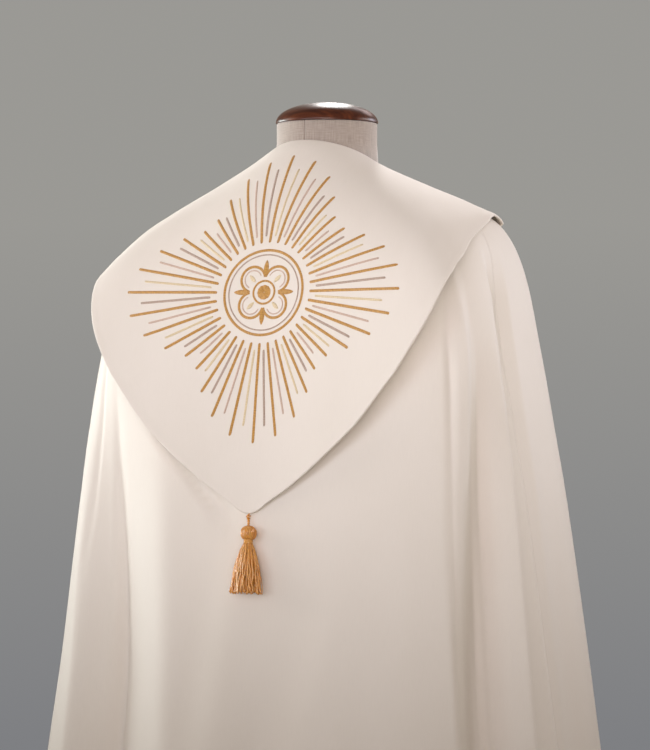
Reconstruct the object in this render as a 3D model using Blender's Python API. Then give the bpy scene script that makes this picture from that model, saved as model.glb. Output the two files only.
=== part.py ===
"""A cope, a floor-length ceremonial cloak, on a limbless tailor's dress form with its stand.

Metres, +Z up, with the floor at Z 0 under the middle of the stand. The garment's front faces -Y and
the wearer's left is +X. Angles round the figure are in degrees from the centre back, positive
towards the wearer's left, so 90 is the left shoulder and 180 the centre front. A "drop" is a
distance below the nape, the highest point of the neckline.
"""

import math
from collections import namedtuple

import bmesh
import bpy
from mathutils import Vector

# ---------------------------------------------------------------- driving sizes
NAPE_HEIGHT = 1.536  # of the neckline at the centre back, above the floor
CLOTH = 0.0020  # wall of the mantle: face cloth and lining together
HOOD_CLOTH = 0.0024  # the hood is stiffened
SEAM_GAP = 0.0003  # between pieces that are sewn or rest together
MANTLE_TURN = 96  # columns of the mantle's mesh in a full turn
SIDE_SEAM = 80  # degrees, the seams between the back and the two fronts

# ---------------------------------------------------------------- the drape, level by level
# Each level is a closed line round the figure at the same distance of cloth from the neckline: its
# reach and its drop at the side, the centre back and the centre front, how square its back and front
# halves are (2 is an ellipse), and the half width of the front opening there.
Level = namedtuple(
    "Level", "name side_x side_drop back_y back_drop front_y front_drop back_square front_square opening"
)
MANTLE = (
    Level("neckline", 0.0635, 0.025, 0.064, 0.000, 0.062, 0.042, 2.0, 2.0, 0.020),
    Level("neck root", 0.084, 0.035, 0.080, 0.014, 0.074, 0.058, 2.0, 2.0, 0.022),
    Level("inner shoulder", 0.130, 0.055, 0.107, 0.047, 0.098, 0.086, 2.1, 2.0, 0.025),
    Level("mid shoulder", 0.180, 0.077, 0.133, 0.090, 0.120, 0.128, 2.3, 2.1, 0.028),
    Level("shoulder end", 0.216, 0.100, 0.151, 0.138, 0.136, 0.172, 2.7, 2.4, 0.030),
    Level("upper arm", 0.238, 0.150, 0.163, 0.192, 0.147, 0.220, 3.6, 2.8, 0.032),
    Level("chest", 0.254, 0.243, 0.175, 0.262, 0.158, 0.275, 4.6, 3.0, 0.034),
    Level("ribs", 0.271, 0.340, 0.186, 0.345, 0.177, 0.350, 4.1, 2.8, 0.036),
    Level("waist", 0.287, 0.430, 0.197, 0.430, 0.195, 0.430, 3.5, 2.6, 0.038),
    Level("seat", 0.311, 0.594, 0.216, 0.594, 0.218, 0.594, 3.0, 2.5, 0.042),
    Level("thigh", 0.332, 0.740, 0.235, 0.740, 0.233, 0.740, 2.9, 2.4, 0.046),
    Level("knee", 0.365, 0.975, 0.266, 0.975, 0.252, 0.975, 2.7, 2.4, 0.052),
    Level("calf", 0.396, 1.220, 0.292, 1.220, 0.272, 1.220, 2.4, 2.3, 0.058),
    Level("hem", 0.425, 1.460, 0.320, 1.460, 0.292, 1.460, 2.3, 2.2, 0.064),
)
SHOULDER_END = 4  # the last level of the mantle that the form carries
UNDER_HOOD, ABOVE_HEM = 6, 11  # outside these levels the mesh has two rows for each level

# The level lines fall from the shoulder's ridge to the centre back, or front, by this power.
BACK_FALL, FRONT_FALL = 1.15, 2.0

# ---------------------------------------------------------------- folds of the mantle
# A fold is a ridge (depth above 0) or a trough (below 0) that runs down the cloth: the drop where it
# starts, its middle's angle there, at the thigh level and at the hem, its half width in degrees, its
# depth at the thigh level and at the hem, and how far its deepest line lies off its middle, as a
# share of the half width.
Fold = namedtuple(
    "Fold", "start_drop start_angle thigh_angle hem_angle half_width thigh_depth hem_depth lean"
)
FOLDS = (
    # from the centre back round the wearer's right to the front
    Fold(0.50, 2, -14, -22, 14, 0.004, 0.020, 0.0),
    Fold(0.34, -36, -37, -35, 12, -0.004, -0.018, 0.0),
    Fold(0.26, -52, -50, -44, 8, 0.007, 0.018, -0.6),
    Fold(0.28, -63, -61, -54, 8, -0.022, -0.034, 0.4),
    Fold(0.12, -76, -68, -65, 10, 0.009, 0.020, -0.5),
    Fold(0.12, -87, -80, -76, 6, -0.010, -0.024, 0.4),
    Fold(0.16, -102, -95, -89, 12, 0.006, 0.020, 0.0),
    Fold(0.24, -116, -110, -103, 8, -0.010, -0.030, 0.0),
    Fold(0.30, -127, -123, -117, 9, 0.006, 0.018, 0.0),
    Fold(0.28, -139, -136, -131, 8, -0.014, -0.032, 0.2),
    Fold(0.34, -150, -148, -145, 8, 0.006, 0.018, 0.0),
    Fold(0.40, -161, -160, -159, 7, -0.008, -0.020, 0.0),
    # from the centre back round the wearer's left to the front
    Fold(0.50, 14, 12, 6, 12, -0.003, -0.018, 0.0),
    Fold(0.22, 48, 27, 20, 9, 0.010, 0.022, 0.2),
    Fold(0.24, 57, 38, 32, 11, -0.013, -0.030, -0.3),
    Fold(0.26, 68, 57, 49, 12, 0.006, 0.020, 0.0),
    Fold(0.14, 79, 74, 66, 8, -0.010, -0.026, 0.0),
    Fold(0.20, 92, 88, 82, 9, 0.006, 0.020, 0.0),
    Fold(0.16, 105, 102, 97, 8, -0.012, -0.030, 0.2),
    Fold(0.26, 118, 116, 112, 9, 0.006, 0.018, 0.0),
    Fold(0.22, 131, 130, 127, 8, -0.012, -0.032, 0.0),
    Fold(0.34, 145, 144, 142, 8, 0.006, 0.018, 0.0),
    Fold(0.36, 158, 158, 157, 7, -0.008, -0.020, 0.0),
)
THIGH_DROP = MANTLE[10].side_drop
HEM_DROP = MANTLE[-1].side_drop

# ---------------------------------------------------------------- the hood
# The hood lies over the mantle. Each spoke is an angle, the same on both sides, the drop of the
# hood's edge there, and how far that edge stands out from the mantle at the same height.
Spoke = namedtuple("Spoke", "angle edge_drop stand_off")
HOOD = (
    Spoke(0, 0.436, 0.003),
    Spoke(8, 0.417, 0.006),
    Spoke(16, 0.397, 0.010),
    Spoke(25, 0.367, 0.019),
    Spoke(34, 0.328, 0.027),
    Spoke(42, 0.274, 0.037),
    Spoke(48, 0.222, 0.044),
    Spoke(54, 0.175, 0.042),
    Spoke(60, 0.150, 0.026),
    Spoke(70, 0.123, 0.008),
    Spoke(80, 0.106, 0.003),
    Spoke(91, 0.091, 0.008),
    Spoke(100, 0.098, 0.003),
    Spoke(108, 0.102, 0.002),
    Spoke(116, 0.118, 0.003),
    Spoke(124, 0.146, 0.004),
    Spoke(136, 0.190, 0.004),
    Spoke(150, 0.228, 0.004),
    Spoke(180, 0.262, 0.004),
)
HOOD_LIFT = 0.0009  # of the hood's inside over the mantle
STAND_OFF_POWER = 3  # the stand-off grows towards the edge by this power
HOOD_TURN = 60  # columns of the hood's mesh in a full turn
HOOD_ROWS = 10
TIP_ROUNDING = 4  # degrees either side of the tip that are drawn round

# ---------------------------------------------------------------- the clasp tab
CLASP_DROP = 0.300
CLASP_HEIGHT = 0.050
CLASP_HALF_ANGLE = 27
CLASP_LIFT = 0.0006  # of its inside over the fronts
CLASP_COLUMNS, CLASP_ROWS = 14, 3

# ---------------------------------------------------------------- the tassel
CORD_RADIUS = 0.0013
CORD_LENGTH = 0.013
CORD_GAP = 0.0005  # between the cord and the hood's tip
CORD_SIDES, CORD_ROWS = 8, 3
BALL_RADIUS = 0.0095
BALL_BOTTOM = -48  # degrees, where the ball runs into the binding
BALL_STEPS, HEAD_SIDES = 9, 18
BINDING_RADIUS = 0.0050
BINDING_LENGTH = 0.006
SKIRT_LENGTH = 0.056
ROOT_DEPTH = 0.002  # of the strands in the binding
TASSEL_LEAN = 7  # degrees off the vertical, as the mantle behind it
TASSEL_ASIDE = -0.006  # its head lies this far towards the wearer's right of the hood's tip
TASSEL_OUT = 0.0086  # the head's centre stands this far out from the tip
# Rings of strands: how many, where their roots lie as a share of the binding's radius, how far the
# ring spreads across and outwards at its end, and its length as a share of the skirt's.
Ring = namedtuple("Ring", "count root_share end_width end_depth length_share")
STRAND_RINGS = (
    Ring(24, 0.80, 0.0185, 0.0105, 1.00),
    Ring(15, 0.50, 0.0120, 0.0062, 0.97),
    Ring(7, 0.22, 0.0055, 0.0024, 0.95),
)
STRAND_SIDES = 3
STRAND_STEPS = (0.0, 0.12, 0.35, 0.65, 1.0)  # shares of its length where a strand has a row
STRAND_ROOT, STRAND_END = 0.0005, 0.0010  # radius of a strand
STRAND_WANDER = 0.0012  # how far a strand's end strays sideways
UNEVEN_ENDS = 0.02  # share by which the strands differ in length

# ---------------------------------------------------------------- the dress form
NECK_RADIUS = 0.0602
NECK_TOP = NAPE_HEIGHT + 0.026
NECK_ROWS = (0.026, 0.014, 0.003)  # heights over the nape where the bare neck has a row
CAP_RADIUS, CAP_HEIGHT, CAP_EDGE, CAP_BEVEL = 0.0615, 0.025, 0.006, 0.002
CAP_STEPS = 9
CAP_FULLNESS = 0.75  # power of the dome's curve: 1 is an ellipse, and less is fuller
FORM_GAP = 0.0005  # between the form's shoulders and the cloth on them
FORM_FALL = 0.003  # the form lies this much further inside at the shoulder's end
TORSO_BELOW = (
    Level("arm plate top", 0.205, 0.150, 0.148, 0.190, 0.138, 0.216, 2.8, 2.5, 0),
    Level("arm plate", 0.192, 0.215, 0.152, 0.245, 0.146, 0.265, 2.8, 2.5, 0),
    Level("chest", 0.178, 0.310, 0.148, 0.318, 0.150, 0.324, 2.6, 2.5, 0),
    Level("under chest", 0.166, 0.400, 0.135, 0.400, 0.139, 0.400, 2.4, 2.4, 0),
    Level("waist", 0.157, 0.490, 0.119, 0.490, 0.126, 0.490, 2.3, 2.3, 0),
    Level("hip", 0.176, 0.610, 0.131, 0.610, 0.126, 0.610, 2.3, 2.3, 0),
    Level("foot of the form", 0.181, 0.700, 0.134, 0.700, 0.128, 0.700, 2.3, 2.3, 0),
)
TORSO_TURN = 40
POLE_RADIUS = 0.014
BASE_RADIUS, BASE_EDGE, BASE_ROUND = 0.200, 0.014, 0.008
SOCKET_BOTTOM = 0.030
BOSS_RADIUS, BOSS_TOP = 0.030, 0.075
ROUND_TURN = 32  # sides of the cap, the pole and the foot


# ---------------------------------------------------------------- the surface of the cloth
def along(values, place):
    """The value at a fractional place in a list, on a smooth curve through its entries."""
    last = len(values) - 1
    index = min(max(int(place), 0), last - 1)
    share = place - index
    before, start = values[max(index - 1, 0)], values[index]
    end, after = values[index + 1], values[min(index + 2, last)]
    leave, arrive = (end - before) / 2, (after - start) / 2
    blend = share * share * (3 - 2 * share)
    return (
        start * (1 - blend)
        + end * blend
        + leave * share * (1 - share) ** 2
        - arrive * share**2 * (1 - share)
    )


def smooth_step(share):
    share = min(max(share, 0.0), 1.0)
    return share * share * (3 - 2 * share)


def column(levels, name, place):
    return along([getattr(level, name) for level in levels], place)


def level_point(levels, angle, place):
    """The point of a level line at this angle round the figure, without folds."""
    turn = math.radians(angle)
    sine, cosine = math.sin(turn), math.cos(turn)
    half = "back" if cosine > 0 else "front"
    square = column(levels, half + "_square", place)
    across = abs(sine) / column(levels, "side_x", place)
    deep = abs(cosine) / column(levels, half + "_y", place)
    reach = (across**square + deep**square) ** (-1 / square)
    side, ahead = column(levels, "side_drop", place), column(levels, half + "_drop", place)
    fall = abs(cosine) ** (BACK_FALL if cosine > 0 else FRONT_FALL)
    drop = side + (ahead - side) * fall
    return Vector((reach * sine, reach * cosine, NAPE_HEIGHT - drop))


def fold_middle(fold, drop):
    """The angle of a fold's middle at this drop, on a parabola through its three angles."""
    top, thigh, hem = fold.start_drop, THIGH_DROP, HEM_DROP
    return (
        fold.start_angle * (drop - thigh) * (drop - hem) / ((top - thigh) * (top - hem))
        + fold.thigh_angle * (drop - top) * (drop - hem) / ((thigh - top) * (thigh - hem))
        + fold.hem_angle * (drop - top) * (drop - thigh) / ((hem - top) * (hem - thigh))
    )


def fold_depth(angle, drop):
    """How far the folds move the cloth out at this angle and drop."""
    total = 0.0
    for fold in FOLDS:
        if drop <= fold.start_drop:
            continue
        off = (angle - fold_middle(fold, drop)) / fold.half_width
        if abs(off) >= 1:
            continue
        off = (off - fold.lean) / (1 - fold.lean * off)
        grown = math.sin(math.pi / 2 * min((drop - fold.start_drop) / (THIGH_DROP - fold.start_drop), 1))
        further = smooth_step((drop - THIGH_DROP) / (HEM_DROP - THIGH_DROP))
        depth = fold.thigh_depth * grown + (fold.hem_depth - fold.thigh_depth) * further
        total += depth * math.cos(off * math.pi / 2) ** 2
    return total


def outward(surface, angle, place):
    """The outward normal of a surface that is given as a function of angle and place."""
    low, high = max(place - 0.05, 0), min(place + 0.05, len(MANTLE) - 1)
    round_it = surface(angle + 0.5, place) - surface(angle - 0.5, place)
    down = surface(angle, high) - surface(angle, low)
    return round_it.cross(down).normalized()


def smooth_mantle(angle, place):
    """The mantle's outside without its folds."""
    return level_point(MANTLE, angle, place)


def folded_mantle(angle, place):
    """The mantle's outside with its folds."""
    point = smooth_mantle(angle, place)
    out = outward(smooth_mantle, angle, place)
    depth = fold_depth(angle, NAPE_HEIGHT - point.z)
    return point + Vector((out.x, out.y, 0)).normalized() * depth


def place_at_drop(angle, drop):
    """The place on the mantle, counted in levels, whose drop at this angle is the one given."""
    low, high = 0.0, len(MANTLE) - 1.0
    for _ in range(30):
        middle = (low + high) / 2
        if NAPE_HEIGHT - level_point(MANTLE, angle, middle).z < drop:
            low = middle
        else:
            high = middle
    return low


def opening_angle(place):
    """The angle of the front edge at this place."""
    half = column(MANTLE, "opening", place) / column(MANTLE, "front_y", place)
    return 180 - math.degrees(math.asin(half))


def hood_spoke(angle, name):
    """A column of the hood's table at any angle, with the tip drawn round."""
    turn = abs(angle)
    if turn < TIP_ROUNDING:
        turn = (turn * turn / TIP_ROUNDING + TIP_ROUNDING) / 2
    angles = [spoke.angle for spoke in HOOD]
    index = max(i for i in range(len(HOOD) - 1) if angles[i] <= turn)
    share = (turn - angles[index]) / (angles[index + 1] - angles[index])
    return along([getattr(spoke, name) for spoke in HOOD], index + share)


def hood_point(angle, share, lift=0.0):
    """A point of the hood's inside, or lift above it: share 0 is the neckline and 1 the edge."""
    place = place_at_drop(angle, hood_spoke(angle, "edge_drop")) * share
    turn = math.radians(angle)
    stand_off = hood_spoke(angle, "stand_off") * share**STAND_OFF_POWER
    out = outward(smooth_mantle, angle, place) * (HOOD_LIFT + lift)
    return smooth_mantle(angle, place) + out + Vector((math.sin(turn), math.cos(turn), 0)) * stand_off


# ---------------------------------------------------------------- making objects
def clear_scene():
    for obj in list(bpy.data.objects):
        bpy.data.objects.remove(obj)


def material(name, colour, roughness, metallic=0.0):
    made = bpy.data.materials.new(name)
    made.use_nodes = True
    shader = made.node_tree.nodes["Principled BSDF"]
    shader.inputs["Base Color"].default_value = (*colour, 1)
    shader.inputs["Roughness"].default_value = roughness
    shader.inputs["Metallic"].default_value = metallic
    return made


def add_object(name, mesh_data, finish):
    """A new object from a bmesh, which it frees."""
    bmesh.ops.recalc_face_normals(mesh_data, faces=mesh_data.faces)
    mesh = bpy.data.meshes.new(name)
    mesh_data.to_mesh(mesh)
    mesh_data.free()
    mesh.materials.append(finish)
    mesh.shade_smooth()
    obj = bpy.data.objects.new(name, mesh)
    bpy.context.scene.collection.objects.link(obj)
    return obj


def skin_rows(mesh_data, rows, closed):
    """Faces between rows of points, and round each row if it is closed. Returns the rows of vertices."""
    verts = [[mesh_data.verts.new(point) for point in row] for row in rows]
    for upper, lower in zip(verts, verts[1:]):
        count = len(upper)
        for i in range(count if closed else count - 1):
            j = (i + 1) % count
            mesh_data.faces.new((upper[i], lower[i], lower[j], upper[j]))
    return verts


def cloth_wall(name, outer_rows, inner_rows, finish):
    """A wall of cloth between two grids of points."""
    mesh_data = bmesh.new()
    outer = skin_rows(mesh_data, outer_rows, closed=False)
    inner = skin_rows(mesh_data, inner_rows, closed=False)
    rims = [rim(grid) for grid in (outer, inner)]
    count = len(rims[0])
    for i in range(count):
        j = (i + 1) % count
        mesh_data.faces.new((rims[0][i], rims[0][j], rims[1][j], rims[1][i]))
    return add_object(name, mesh_data, finish)


def rim(grid):
    """The vertices round the edge of a grid, in order."""
    right = [row[-1] for row in grid[1:-1]]
    left = [row[0] for row in grid[-2:0:-1]]
    return grid[0] + right + grid[-1][::-1] + left


def lofted(name, rows, finish):
    """A closed solid through closed rows of points, capped at both ends."""
    mesh_data = bmesh.new()
    verts = skin_rows(mesh_data, rows, closed=True)
    mesh_data.faces.new(verts[0])
    mesh_data.faces.new(verts[-1])
    return add_object(name, mesh_data, finish)


def turned(name, profile, finish):
    """A solid of revolution about Z from (radius, height) pairs that start and end on the axis."""
    mesh_data = bmesh.new()
    verts = [mesh_data.verts.new((radius, 0, height)) for radius, height in profile]
    edges = [mesh_data.edges.new(pair) for pair in zip(verts, verts[1:])]
    bmesh.ops.spin(
        mesh_data,
        geom=verts + edges,
        axis=(0, 0, 1),
        cent=(0, 0, 0),
        angle=2 * math.pi,
        steps=ROUND_TURN,
        use_merge=True,
    )
    bmesh.ops.remove_doubles(mesh_data, verts=mesh_data.verts, dist=1e-6)
    return add_object(name, mesh_data, finish)


def arc(centre, radius, start, end, steps):
    """Points of an arc in the (radius, height) plane, angles in degrees."""
    turns = [math.radians(start + (end - start) * i / steps) for i in range(steps + 1)]
    return [(centre[0] + radius * math.cos(t), centre[1] + radius * math.sin(t)) for t in turns]


# ---------------------------------------------------------------- the cope
def mantle_places():
    """Where the mesh rows of the mantle lie, counted in levels: every half level near the hood and
    the hem, where the cloth bends most or the levels are far apart, and every level between."""
    halves = [i / 2 for i in range(2 * (len(MANTLE) - 1) + 1)]
    return [place for place in halves if place <= UNDER_HOOD or place >= ABOVE_HEM or place % 1 == 0]


def seam_shift(place):
    """Half the seam's gap as an angle, at this place."""
    return math.degrees(SEAM_GAP / 2 / column(MANTLE, "side_x", place))


def mantle_panel(name, start, end, finish):
    """A panel of the mantle between two edges, each a function of the place that gives an angle."""
    count = round((end(0) - start(0)) / 360 * MANTLE_TURN)
    outer, inner = [], []
    for place in mantle_places():
        first, last = start(place), end(place)
        angles = [first + (last - first) * i / count for i in range(count + 1)]
        points = [folded_mantle(angle, place) for angle in angles]
        outs = [outward(folded_mantle, angle, place) for angle in angles]
        outer.append(points)
        inner.append([point - out * CLOTH for point, out in zip(points, outs)])
    cloth_wall(name, outer, inner, finish)


def make_mantle(finish):
    mantle_panel(
        "mantle_back",
        lambda place: -SIDE_SEAM + seam_shift(place),
        lambda place: SIDE_SEAM - seam_shift(place),
        finish,
    )
    mantle_panel("mantle_front_left", lambda place: SIDE_SEAM + seam_shift(place), opening_angle, finish)
    mantle_panel(
        "mantle_front_right",
        lambda place: -opening_angle(place),
        lambda place: -SIDE_SEAM - seam_shift(place),
        finish,
    )


def make_hood(finish):
    half = HOOD_TURN // 2
    outer, inner = [], []
    for row in range(HOOD_ROWS + 1):
        share = row / HOOD_ROWS
        end = opening_angle(place_at_drop(180, HOOD[-1].edge_drop) * share)
        angles = [end * i / half for i in range(-half, half + 1)]
        outer.append([hood_point(angle, share, HOOD_CLOTH) for angle in angles])
        inner.append([hood_point(angle, share) for angle in angles])
    cloth_wall("hood", outer, inner, finish)


def make_clasp(finish):
    """A plain tab across the opening, on the fronts."""
    outer, inner = [], []
    for row in range(CLASP_ROWS + 1):
        drop = CLASP_DROP + CLASP_HEIGHT * (row / CLASP_ROWS - 0.5)
        angles = [
            180 + CLASP_HALF_ANGLE * (2 * i / CLASP_COLUMNS - 1) for i in range(CLASP_COLUMNS + 1)
        ]
        for rows, lift in ((outer, CLASP_LIFT + CLOTH), (inner, CLASP_LIFT)):
            rows.append([lifted_mantle(angle, drop, lift) for angle in angles])
    cloth_wall("clasp_tab", outer, inner, finish)


def lifted_mantle(angle, drop, lift):
    """A point over the mantle without its folds, at this drop."""
    place = place_at_drop(angle, drop)
    return smooth_mantle(angle, place) + outward(smooth_mantle, angle, place) * lift


# ---------------------------------------------------------------- the tassel
def tassel_axes():
    """The tassel's directions: across, outward and down."""
    lean = math.radians(TASSEL_LEAN)
    out = Vector((0, math.cos(lean), math.sin(lean)))
    down = Vector((0, math.sin(lean), -math.cos(lean)))
    return Vector((1, 0, 0)), out, down


def ball_centre():
    across, out, down = tassel_axes()
    tip = hood_point(0, 1, HOOD_CLOTH / 2)
    return tip + down * (CORD_LENGTH + BALL_RADIUS) + out * TASSEL_OUT + across * TASSEL_ASIDE


def circle(centre, first, second, radius, sides):
    """Points round a circle that lies in the plane of two directions."""
    turns = [2 * math.pi * i / sides for i in range(sides)]
    return [centre + (first * math.cos(t) + second * math.sin(t)) * radius for t in turns]


def make_cord(finish):
    """The short cord from the hood's tip to the tassel's head."""
    tip = hood_point(0, 1, HOOD_CLOTH / 2)
    to_ball = ball_centre() - tip
    hang = to_ball.normalized()
    across = tassel_axes()[0]
    length = to_ball.length - BALL_RADIUS - CORD_GAP - SEAM_GAP
    rows = []
    for step in range(CORD_ROWS + 1):
        centre = tip + hang * (CORD_GAP + length * step / CORD_ROWS)
        rows.append(circle(centre, across, across.cross(hang), CORD_RADIUS, CORD_SIDES))
    lofted("tassel_cord", rows, finish)


def make_head(finish):
    """A ball that runs into a bound neck."""
    across, out, down = tassel_axes()
    centre = ball_centre()
    profile = arc((0, 0), BALL_RADIUS, 90, BALL_BOTTOM, BALL_STEPS)[1:]
    profile.append((BINDING_RADIUS, -BALL_RADIUS))
    profile.append((BINDING_RADIUS, -BALL_RADIUS - BINDING_LENGTH))
    head = bmesh.new()
    rings = [circle(centre - down * height, across, out, radius, HEAD_SIDES) for radius, height in profile]
    verts = skin_rows(head, rings, closed=True)
    top = head.verts.new(centre - down * BALL_RADIUS)
    for i in range(HEAD_SIDES):
        head.faces.new((top, verts[0][i], verts[0][(i + 1) % HEAD_SIDES]))
    head.faces.new(verts[-1])
    return add_object("tassel", head, finish)


def strand_rows(ring, number):
    """The corners of one strand of the skirt, row by row."""
    across, out, down = tassel_axes()
    root = ball_centre() + down * (BALL_RADIUS + BINDING_LENGTH - ROOT_DEPTH)
    turn = 2 * math.pi * (number + 0.5 * (ring.count % 2)) / ring.count
    start = BINDING_RADIUS * ring.root_share
    length = SKIRT_LENGTH * ring.length_share * (1 + UNEVEN_ENDS * math.sin(number * 1.7))
    rows = []
    for step in STRAND_STEPS:
        spread = (step + smooth_step(step)) / 2
        width = start + (ring.end_width - start) * spread
        depth = start + (ring.end_depth - start) * spread
        aside = math.cos(turn) * width + math.sin(number * 2.4) * STRAND_WANDER * step
        middle = root + across * aside + out * math.sin(turn) * depth + down * length * step
        radius = STRAND_ROOT + (STRAND_END - STRAND_ROOT) * smooth_step(step * 2.5)
        rows.append(circle(middle, across, out, radius, STRAND_SIDES))
    return rows


def make_tassel(finish):
    make_cord(finish)
    tassel = make_head(finish)
    strands = bmesh.new()
    for ring in STRAND_RINGS:
        for number in range(ring.count):
            verts = skin_rows(strands, strand_rows(ring, number), closed=True)
            strands.faces.new(verts[0])
            strands.faces.new(verts[-1])
    skirt = add_object("tassel_strands", strands, finish)
    skirt.hide_render = True
    skirt.display_type = "WIRE"
    fuse = tassel.modifiers.new("Fuse", "BOOLEAN")
    fuse.operation = "UNION"
    fuse.object = skirt
    fuse.use_self = True


# ---------------------------------------------------------------- the dress form
def make_torso(finish):
    """The neck, the shoulders just inside the mantle's, and the body down to the hips."""
    levels = MANTLE[: SHOULDER_END + 1] + TORSO_BELOW
    angles = [360 * i / TORSO_TURN for i in range(TORSO_TURN)]
    across, ahead = Vector((1, 0, 0)), Vector((0, 1, 0))
    rows = [
        circle(Vector((0, 0, NAPE_HEIGHT + rise)), ahead, across, NECK_RADIUS, TORSO_TURN)
        for rise in NECK_ROWS
    ]

    def body(angle, place):
        return level_point(levels, angle, place)

    for place in [i / 2 for i in range(2 * SHOULDER_END + 1)]:
        inset = CLOTH + FORM_GAP + FORM_FALL * smooth_step(2 * place / SHOULDER_END - 1)
        rows.append([body(angle, place) - outward(body, angle, place) * inset for angle in angles])
    for place in range(SHOULDER_END + 1, len(levels)):
        rows.append([body(angle, place) for angle in angles])
    lofted("form_torso", rows, finish)


def make_cap(finish):
    bottom = NECK_TOP + SEAM_GAP
    crown = CAP_HEIGHT - CAP_EDGE
    profile = [(0, bottom), (CAP_RADIUS - CAP_BEVEL, bottom), (CAP_RADIUS, bottom + CAP_BEVEL)]
    for step in range(CAP_STEPS):
        turn = math.pi / 2 * step / CAP_STEPS
        reach = CAP_RADIUS * math.cos(turn) ** CAP_FULLNESS
        profile.append((reach, bottom + CAP_EDGE + crown * math.sin(turn)))
    profile.append((0, bottom + CAP_HEIGHT))
    turned("form_cap", profile, finish)


def make_pole(finish):
    bottom = SOCKET_BOTTOM + SEAM_GAP
    top = NAPE_HEIGHT - TORSO_BELOW[-1].side_drop - SEAM_GAP
    turned("form_pole", [(0, bottom), (POLE_RADIUS, bottom), (POLE_RADIUS, top), (0, top)], finish)


def make_base(finish):
    """A round foot with a flat underside and a boss with a socket for the pole."""
    bore = POLE_RADIUS + SEAM_GAP
    profile = [(0, 0), (BASE_RADIUS - CAP_BEVEL, 0), (BASE_RADIUS, CAP_BEVEL)]
    profile += arc((BASE_RADIUS - BASE_ROUND, BASE_EDGE), BASE_ROUND, 0, 90, 4)
    profile += [
        (2 * BOSS_RADIUS, BASE_EDGE + 2 * BASE_ROUND),
        (1.2 * BOSS_RADIUS, BASE_EDGE + 4 * BASE_ROUND),
        (BOSS_RADIUS, BOSS_TOP - BASE_ROUND),
        (BOSS_RADIUS - CAP_BEVEL, BOSS_TOP),
        (bore, BOSS_TOP),
        (bore, SOCKET_BOTTOM),
        (0, SOCKET_BOTTOM),
    ]
    turned("form_base", profile, finish)


def main():
    clear_scene()
    ivory = material("ivory cloth", (0.86, 0.80, 0.73), 0.65)
    gold = material("gold thread", (0.62, 0.36, 0.13), 0.40)
    linen = material("linen cover", (0.60, 0.52, 0.46), 0.90)
    wood = material("polished dark wood", (0.12, 0.035, 0.015), 0.20)
    steel = material("steel pole", (0.55, 0.55, 0.56), 0.30, 1.0)
    make_mantle(ivory)
    make_hood(ivory)
    make_clasp(ivory)
    make_tassel(gold)
    make_torso(linen)
    make_cap(wood)
    make_pole(steel)
    make_base(wood)


main()
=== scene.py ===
"""The cope and its dress form as they look: cloth, lining, stitched hood, tassel, linen, wood and steel.

Metres, +Z up. The garment's front faces -Y and the wearer's left is +X. Angles round the figure are
in degrees from the centre back, positive towards the wearer's left. A "drop" is a distance below the
nape, and a "place" is a position down the mantle, counted in levels.
"""

import math
from collections import namedtuple

import bpy
import numpy as np
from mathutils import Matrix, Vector


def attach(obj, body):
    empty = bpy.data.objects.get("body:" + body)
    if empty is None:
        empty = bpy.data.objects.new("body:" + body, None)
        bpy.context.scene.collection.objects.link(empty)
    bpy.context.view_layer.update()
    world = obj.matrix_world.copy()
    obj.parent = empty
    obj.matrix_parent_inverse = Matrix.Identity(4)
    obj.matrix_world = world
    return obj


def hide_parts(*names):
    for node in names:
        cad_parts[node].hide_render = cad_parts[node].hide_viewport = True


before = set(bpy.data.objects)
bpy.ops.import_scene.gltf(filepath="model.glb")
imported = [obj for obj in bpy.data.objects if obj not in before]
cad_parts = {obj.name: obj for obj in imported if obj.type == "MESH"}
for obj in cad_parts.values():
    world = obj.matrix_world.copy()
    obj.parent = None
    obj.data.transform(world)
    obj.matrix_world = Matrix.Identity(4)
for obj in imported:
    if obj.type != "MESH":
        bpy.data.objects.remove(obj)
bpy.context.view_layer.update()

# ---- sizes, the same as the solids'
NAPE_HEIGHT = 1.536
HOOD_CLOTH = 0.0024
SEAM_GAP = 0.0003
SIDE_SEAM = 80

Level = namedtuple(
    "Level", "side_x side_drop back_y back_drop front_y front_drop back_square front_square opening",
    defaults=(0,),
)
MANTLE = [Level(*row) for row in (
    # the neckline, the neck's root, and the shoulder's inner part, middle and end
    (0.0635, 0.025, 0.064, 0.000, 0.062, 0.042, 2.0, 2.0, 0.020),
    (0.084, 0.035, 0.080, 0.014, 0.074, 0.058, 2.0, 2.0, 0.022),
    (0.130, 0.055, 0.107, 0.047, 0.098, 0.086, 2.1, 2.0, 0.025),
    (0.180, 0.077, 0.133, 0.090, 0.120, 0.128, 2.3, 2.1, 0.028),
    (0.216, 0.100, 0.151, 0.138, 0.136, 0.172, 2.7, 2.4, 0.030),
    # the upper arm, chest, ribs, waist and seat
    (0.238, 0.150, 0.163, 0.192, 0.147, 0.220, 3.6, 2.8, 0.032),
    (0.254, 0.243, 0.175, 0.262, 0.158, 0.275, 4.6, 3.0, 0.034),
    (0.271, 0.340, 0.186, 0.345, 0.177, 0.350, 4.1, 2.8, 0.036),
    (0.287, 0.430, 0.197, 0.430, 0.195, 0.430, 3.5, 2.6, 0.038),
    (0.311, 0.594, 0.216, 0.594, 0.218, 0.594, 3.0, 2.5, 0.042),
    # the thigh, knee, calf and hem
    (0.332, 0.740, 0.235, 0.740, 0.233, 0.740, 2.9, 2.4, 0.046),
    (0.365, 0.975, 0.266, 0.975, 0.252, 0.975, 2.7, 2.4, 0.052),
    (0.396, 1.220, 0.292, 1.220, 0.272, 1.220, 2.4, 2.3, 0.058),
    (0.425, 1.460, 0.320, 1.460, 0.292, 1.460, 2.3, 2.2, 0.064),
)]
SHOULDER_END = 4
LAST_LEVEL = len(MANTLE) - 1
BACK_FALL, FRONT_FALL = 1.15, 2.0

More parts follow.
